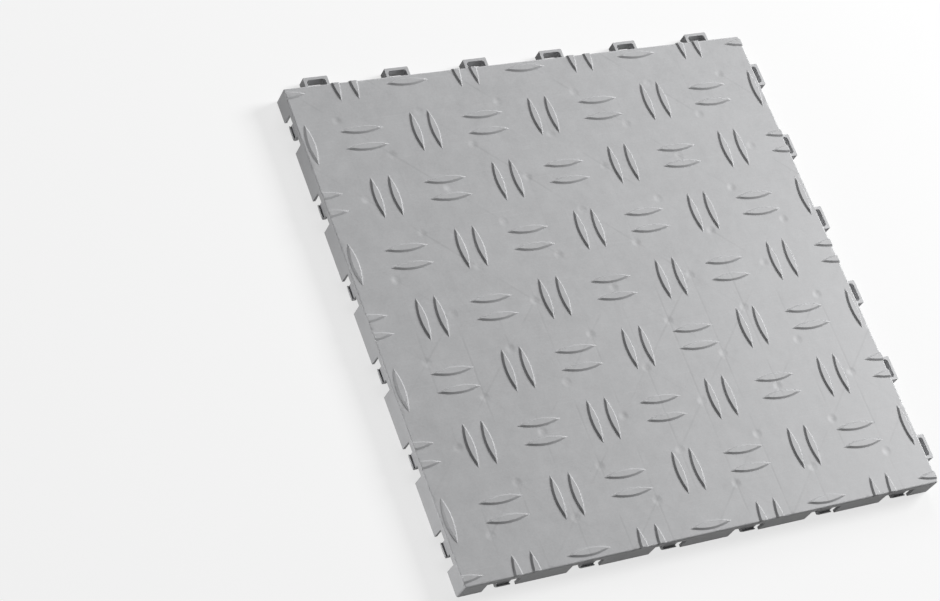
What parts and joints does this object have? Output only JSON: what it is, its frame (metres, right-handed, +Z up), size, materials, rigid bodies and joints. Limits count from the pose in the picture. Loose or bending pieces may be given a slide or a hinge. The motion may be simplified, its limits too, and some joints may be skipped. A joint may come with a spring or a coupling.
{
  "type": "garage floor tile",
  "caption": "Square interlocking plastic floor tile with a raised tread of paired pointed lugs, loops on two sides and snap pegs in notches on the other two.",
  "frame": {"origin": "on the floor under the middle of the tile, at the foot of its middle leg", "axes": "+Z up through the deck, +X and +Y square to the two sides that carry loops; the pegs are on the -X and -Y sides"},
  "size_m": [0.4114, 0.4114, 0.018],
  "materials": {
    "plastic": "satin moulded polypropylene, light neutral grey"
  },
  "bodies": {
    "root": {"floor_tile": "plastic"}
  },
  "joints": []
}
